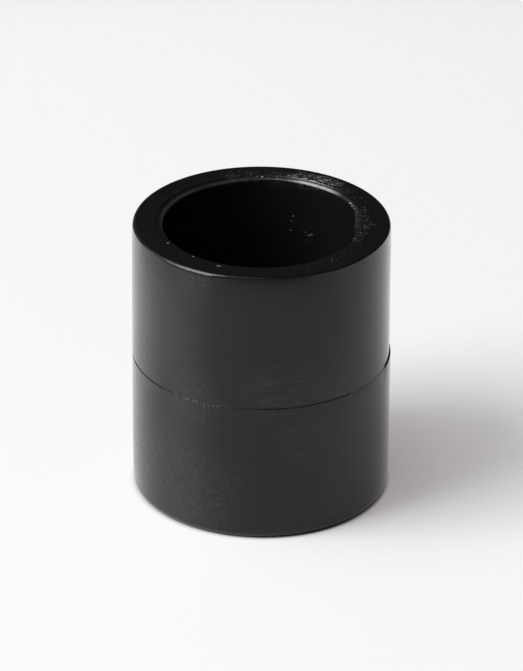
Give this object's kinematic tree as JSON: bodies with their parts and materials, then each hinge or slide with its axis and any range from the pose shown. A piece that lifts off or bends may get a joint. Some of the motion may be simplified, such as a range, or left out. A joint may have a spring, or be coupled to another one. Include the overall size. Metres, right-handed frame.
{
  "type": "socket fusion coupling",
  "caption": "Thick-walled round coupling in black polyethylene with a tapered socket at each end and a pipe stop between them, for joining two pipes by socket fusion.",
  "frame": {"origin": "centre of the lower end face, on the pipe axis", "axes": "+Z along the pipe axis, up towards the upper socket's mouth; +X towards the side on which the lower mould half stands furthest proud of the upper one; +Y completes the set"},
  "size_m": [0.0323, 0.0324, 0.036],
  "materials": {
    "black_polyethylene": "satin black, with a faint moulded grain"
  },
  "bodies": {
    "root": {"coupling_body": "black_polyethylene"}
  },
  "joints": []
}
